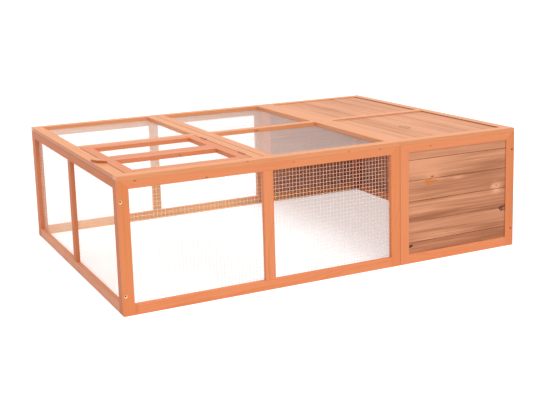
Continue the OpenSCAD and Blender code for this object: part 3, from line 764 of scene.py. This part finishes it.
BOARD_PATCHES = [(at(1142, 4, 302), (0.028, 1, 0.012), -0.5),
                 (at(1424, 4, 232), (0.014, 1, 0.010), -0.9),
                 (at(1424, 4, 214), (0.012, 1, 0.006), -0.7),
                 (at(1256, 4, 286), (0.016, 1, 0.004), -0.5),
                 (at(1400, 4, 318), (0.080, 1, 0.010), 0.40),
                 (at(1340, 4, 292), (0.110, 1, 0.008), 0.35),
                 (at(1390, 4, 262), (0.090, 1, 0.016), 0.35),
                 (at(1090, 4, 262), (0.070, 1, 0.012), 0.30),
                 (at(1130, 4, 158), (0.090, 1, 0.007), 0.35),
                 (at(1400, 4, 160), (0.090, 1, 0.008), 0.35),
                 (at(1400, 4, 62), (0.110, 1, 0.022), 0.35),
                 (at(1110, 4, 190), (0.080, 1, 0.014), -0.45),
                 (at(1250, 4, 210), (0.090, 1, 0.010), -0.25),
                 (at(1180, 4, 86), (0.080, 1, 0.006), -0.35),
                 (at(1090, 4, 335), (0.080, 1, 0.024), -0.35),
                 (at(1300, 4, 225), (0.300, 1, 0.050), 0.25),
                 (at(1250, 4, 10), (0.600, 1, 0.190), 0.50)]
ROOF_KNOTS = [(at(1195, 256, 440), -0.0120, 0.50, KNOT_BROWN),
              (at(1310, 440, 440), 0.0036, 0.4, KNOT_BROWN)]
ROOF_PATCHES = [(at(1200, 850, 440), (0.026, 0.130, 1), 0.30),
                (at(1320, 960, 440), (0.018, 0.110, 1), 0.30),
                (at(1290, 150, 440), (0.020, 0.090, 1), 0.30),
                (at(1150, 330, 440), (0.014, 0.120, 1), 0.30),
                (at(1400, 330, 440), (0.020, 0.110, 1), -0.3)]
# painted shade along the edges where the roof boards sit below the frame
ROOF_BOARD_EDGE_SHADE = [("X", 0.712, 0.0040, "Z", 0.4365, 0.8), ("Y", -0.029, 0.0070, "Z", 0.4365, 0.8)]
BACK_KNOTS = [(at(1170, 1096.5, 262), 0.0065, 0.75, KNOT_BROWN),
              (at(1392, 1096.5, 128), -0.0070, 0.80, KNOT_DARK),
              (at(1322, 1096.5, 341), 0.0032, 0.75, KNOT_DARK),
              (at(1090, 1096.5, 78), 0.0045, 0.70, KNOT_BROWN)]
BACK_PATCHES = [(at(1180, 1096.5, 262), (0.060, 0.003, 0.016), 0.30),
                (at(1340, 1096.5, 190), (0.120, 0.003, 0.020), 0.30),
                (at(1120, 1096.5, 120), (0.090, 0.003, 0.014), -0.35)]
RIGHT_KNOTS = [(at(1496.5, 286, 236), 0.0060, 0.80, KNOT_BROWN),
               (at(1496.5, 905, 118), -0.0072, 0.80, KNOT_DARK),
               (at(1496.5, 742, 312), 0.0036, 0.80, KNOT_DARK),
               (at(1496.5, 410, 92), 0.0028, 0.75, KNOT_DARK)]
RIGHT_PATCHES = [(at(1496.5, 300, 236), (0.003, 0.080, 0.014), 0.35),
                 (at(1496.5, 800, 200), (0.003, 0.120, 0.020), 0.30),
                 (at(1496.5, 900, 330), (0.003, 0.100, 0.016), 0.30),
                 (at(1496.5, 200, 330), (0.003, 0.100, 0.018), -0.35),
                 (at(1496.5, 650, 110), (0.003, 0.110, 0.014), -0.35)]
BOARD_W = 0.0735
WALL_BOARDS = ("Z", 0.034 - 0.45 * BOARD_W, BOARD_W)
ROOF_BOARDS = ("X", 1.038 - RUN_L / 2, BOARD_W)
ROUGH_SAWN = {"rings": 0.006, "contrast": 0.12, "bands": 0.6, "threads": 0.6,
              "roughness": 0.5, "sheen": 0.25}
# how far the edges are rounded
MEMBER_EASE, BOARD_EASE, BUTTON_EASE = 0.0007, 0.0004, 0.0005
HINGE_EASE, WASHER_EASE = 0.0002, 0.0001


def member_stain(node):
    """The pale and dark colours of a frame member: darker on the side walls as painted shade,
    paler on the back walls and on the roof's left rail as painted light.
    """
    if "roof" in node:
        return ROOF_EDGE if node == "roof_left_rail" else ROOF_FRAME
    if node.startswith("hatch"):
        return LID
    if node.startswith(("left", "right")):
        return SIDE_RAIL if node == "left_bottom_rail" else SIDE
    if node.startswith(("back", "shelter_back")):
        return BACK
    return FRAME


def member_sheen(node):
    """How much a frame member shines: the roof the most, the left wall the least."""
    if "roof" in node or node.startswith("hatch"):
        return SHEENS.get(node, ROOF_SHEEN)
    return SHEENS.get(node, LEFT_SHEEN if node.startswith("left") else WALL_SHEEN)


def dress_members():
    for seed, (node, grain) in enumerate(MEMBERS.items(), 1):
        screws = ()
        if node in SCREWED:
            screws = [at(*SCREWED[node], z) for z in SCREW_ZS]
        material = timber(node + "_stain", grain, *member_stain(node), seed,
                          sheen=member_sheen(node), knots=KNOTS.get(node, ()),
                          patches=PATCHES.get(node, ()), seams=SEAMS.get(node, ()),
                          screws=screws, painted_side_shade=PAINTED_SIDE_SHADE.get(node, 0.0),
                          painted_light=PAINTED_LIGHT_FACES.get(node, ()))
        dress(node, material, MEMBER_EASE)


def dress_boards():
    for node, grain, colours, boards, marks in (
            ("shelter_front_boards", "X", BOARD, WALL_BOARDS,
             {"knots": BOARD_KNOTS, "patches": BOARD_PATCHES}),
            ("shelter_back_boards", "X", BOARD, WALL_BOARDS,
             {"knots": BACK_KNOTS, "patches": BACK_PATCHES}),
            ("right_boards", "Y", BOARD, WALL_BOARDS,
             {"knots": RIGHT_KNOTS, "patches": RIGHT_PATCHES}),
            ("shelter_roof_boards", "Y", ROOF_BOARD, ROOF_BOARDS,
             {"knots": ROOF_KNOTS, "patches": ROOF_PATCHES, "seams": ROOF_BOARD_EDGE_SHADE})):
        material = timber(node + "_stain", grain, *colours, len(node), boards=boards,
                          **ROUGH_SAWN, **marks)
        dress(node, material, BOARD_EASE)


def dress_button():
    # the button's faces that don't look up are darkened as painted shade
    material = timber("turn_button_stain", "X", *BUTTON, 5, contrast=0.16, bands=0.15,
                      painted_side_shade=0.85)
    dress("turn_button", material, BUTTON_EASE)


# ---- Nets and staples in place --------------------------------------------------------------
# the members that hold each net, as (axis, coordinate)
RAIL_HOLDS = [(2, 0.034), (2, 0.398)]
LONG_HOLDS = [(0, -0.714), (0, 0.503 - RUN_L / 2), (0, 0.238), *RAIL_HOLDS]
SIDE_HOLDS = [(1, -0.505), (1, 0.0), (1, 0.505), *RAIL_HOLDS]
ROOF_LEFT_HOLDS = [(0, -0.712), (0, -0.28), (1, 0.025), (1, 0.512)]
ROOF_RIGHT_HOLDS = [(0, -0.2075), (0, 0.22), (1, -0.512), (1, 0.007), (1, 0.512)]
LID_HOLDS = [(0, -0.674), (0, -0.319), (1, -0.474), (1, -0.2615), (1, -0.049)]
UP_STILE, RAIL_ZS = (45, 395), (22, 409)
UNDER_ROOF = WALL_H / MM


def wall_rows(spot, stiles, bays):
    """Rows up a wall's stiles and along its rails; spot(s, z) is a point on its inside."""
    rows = [(spot(s, UP_STILE[0]), spot(s, UP_STILE[1])) for s in stiles]
    return rows + [(spot(s0, z), spot(s1, z)) for s0, s1 in bays for z in RAIL_ZS]


def roof_rows(xs, y_span, ys, x_span):
    """Rows under the roof: along Y at each of xs, then along X at each of ys."""
    rows = [tuple(at(x, y, UNDER_ROOF) for y in y_span) for x in xs]
    return rows + [tuple(at(x, y, UNDER_ROOF) for x in x_span) for y in ys]


def build_nets(wire, roof_wire):
    down = (0, 0, -1)
    wire_net("front_wire_net", "front_net", "frame", wire, (0, 1, 0), 11, LONG_HOLDS)
    wire_net("back_wire_net", "back_net", "frame", wire, (0, -1, 0), 12, LONG_HOLDS)
    wire_net("left_wire_net", "left_net", "frame", wire, (1, 0, 0), 13, SIDE_HOLDS)
    wire_net("roof_left_wire_net", "roof_left_net", "frame", roof_wire, down, 14,
             ROOF_LEFT_HOLDS)
    wire_net("roof_right_wire_net", "roof_right_net", "frame", roof_wire, down, 15,
             ROOF_RIGHT_HOLDS)
    wire_net("lid_wire_net", "hatch_net", "hatch", roof_wire, down, 16, LID_HOLDS)


def build_staples(wire):
    """All rows are in mm, as at() takes them."""
    down = (0, 0, -1)
    for name, y, inward, seed in (("front", 15, (0, 1, 0), 41), ("back", 1085, (0, -1, 0), 42)):
        rows = wall_rows(lambda x, z: at(x, y, z), (29, 503, 977), ((45, 480), (526, 965)))
        staples(name + "_net_staples", "frame", wire, inward, seed, rows)
    rows = wall_rows(lambda y, z: at(15, y, z), (38, 550, 1062), ((55, 530), (570, 1045)))
    staples("left_net_staples", "frame", wire, (1, 0, 0), 43, rows)
    rows = roof_rows((30, 488), (590, 1050), (557, 1071), (45, 465))
    rows += roof_rows((528, 986), (50, 1050), (30, 557, 1071), (548, 965))
    staples("roof_net_staples", "frame", wire, down, 44, rows)
    rows = roof_rows((67, 448), (85, 495), (60, 288.5, 518), (80, 428))
    staples("lid_net_staples", "hatch", wire, down, 45, rows)


# ---- Stage ----------------------------------------------------------------------------------
WORLD_FILL = 0.62
SUN_FROM = (0.02, -0.42, 0.88)  # the way towards the sun
SUN_STRENGTH, SUN_SPREAD_DEG = 1.94, 40
WHITE = (1, 1, 1, 1)
FLOOR_HALF = 30
FLOOR_GLOW, FLOOR_GLOW_TINT = 0.50, (1, 0.99, 1, 1)
FLOOR_LIT, FLOOR_PLAIN = (0.75, 0.79, 0.82, 1), (0.88, 0.88, 0.88, 1)


def seen_rays(nodes, links):
    """1 for camera, glossy and transmission rays."""
    path = nodes.new("ShaderNodeLightPath")
    total = path.outputs["Is Camera Ray"]
    for key in ("Is Glossy Ray", "Is Transmission Ray"):
        joined = nodes.new("ShaderNodeMath")
        joined.operation = "MAXIMUM"
        links.new(total, joined.inputs[0])
        links.new(path.outputs[key], joined.inputs[1])
        total = joined.outputs[0]
    return total


def make_world():
    """White for seen rays, and a dimmer fill light for all others."""
    world = bpy.data.worlds.new("studio")
    bpy.context.scene.world = world
    world.use_nodes = True
    nodes, links = world.node_tree.nodes, world.node_tree.links
    nodes.clear()
    out = nodes.new("ShaderNodeOutputWorld")
    seen, fill = nodes.new("ShaderNodeBackground"), nodes.new("ShaderNodeBackground")
    seen.inputs["Color"].default_value = WHITE
    fill.inputs["Color"].default_value = WHITE
    fill.inputs["Strength"].default_value = WORLD_FILL
    mix = nodes.new("ShaderNodeMixShader")
    links.new(seen_rays(nodes, links), mix.inputs[0])
    links.new(fill.outputs[0], mix.inputs[1])
    links.new(seen.outputs[0], mix.inputs[2])
    links.new(mix.outputs[0], out.inputs["Surface"])


def make_floor():
    """A floor that seen rays find white but for the object's shadow."""
    half = FLOOR_HALF
    mesh = bpy.data.meshes.new("floor")
    mesh.from_pydata([(-half, -half, 0), (half, -half, 0), (half, half, 0), (-half, half, 0)],
                     [], [(0, 1, 2, 3)])
    floor = bpy.data.objects.new("floor", mesh)
    bpy.context.scene.collection.objects.link(floor)
    g = Graph("floor_white")
    nodes, links = g.tree.nodes, g.tree.links
    lit = g.node("ShaderNodeBsdfDiffuse", {"Color": FLOOR_LIT})
    glow = g.node("ShaderNodeEmission", {"Color": FLOOR_GLOW_TINT, "Strength": FLOOR_GLOW})
    both = g.node("ShaderNodeAddShader")
    links.new(lit.outputs[0], both.inputs[0])
    links.new(glow.outputs[0], both.inputs[1])
    plain = g.node("ShaderNodeBsdfDiffuse", {"Color": FLOOR_PLAIN})
    mix = g.node("ShaderNodeMixShader")
    links.new(seen_rays(nodes, links), mix.inputs[0])
    links.new(plain.outputs[0], mix.inputs[1])
    links.new(both.outputs[0], mix.inputs[2])
    links.new(mix.outputs[0], g.out.inputs["Surface"])
    mesh.materials.append(g.material)


def make_lights():
    data = bpy.data.lights.new("sun", "SUN")
    data.energy, data.angle = SUN_STRENGTH, math.radians(SUN_SPREAD_DEG)
    sun = bpy.data.objects.new("sun", data)
    bpy.context.scene.collection.objects.link(sun)
    sun.rotation_mode = "QUATERNION"
    sun.rotation_quaternion = Vector(SUN_FROM).to_track_quat("Z", "Y")


# ---- Scene ----------------------------------------------------------------------------------
bpy.context.scene.view_settings.view_transform = "Standard"
make_camera()
make_world()
make_floor()
make_lights()
dress_members()
dress_boards()
dress_button()
# both wire colours are tinted warm as painted reflection of the orange timber round them, over
# the zinc's own grey
WIRE = metal("wire_galvanised_painted_warm_reflection", (0.95, 0.75, 0.63), 0.42, patch=0.03)
ROOF_WIRE = metal("roof_wire_galvanised_painted_warm_reflection", (0.86, 0.75, 0.70), 0.42, patch=0.03)
HINGE = metal("hinge_steel_plated", (0.74, 0.47, 0.28), 0.46)
ZINC = metal("screw_zinc", (0.72, 0.63, 0.44), 0.36)
# the corner screws are near black to stand in for the shade inside their countersunk holes:
# painted shade
DARK = metal("screw_black_painted_hole_shade", (0.16, 0.13, 0.12), 0.42)
for hinge_node in ("hinge_fixed_leaves", "hinge_moving_leaves", "hinge_pins"):
    dress(hinge_node, HINGE, HINGE_EASE)
dress("turn_button_washer", ZINC, WASHER_EASE)
build_nets(WIRE, ROOF_WIRE)
build_staples(WIRE)
corner_screws(DARK)
button_screw(ZINC)
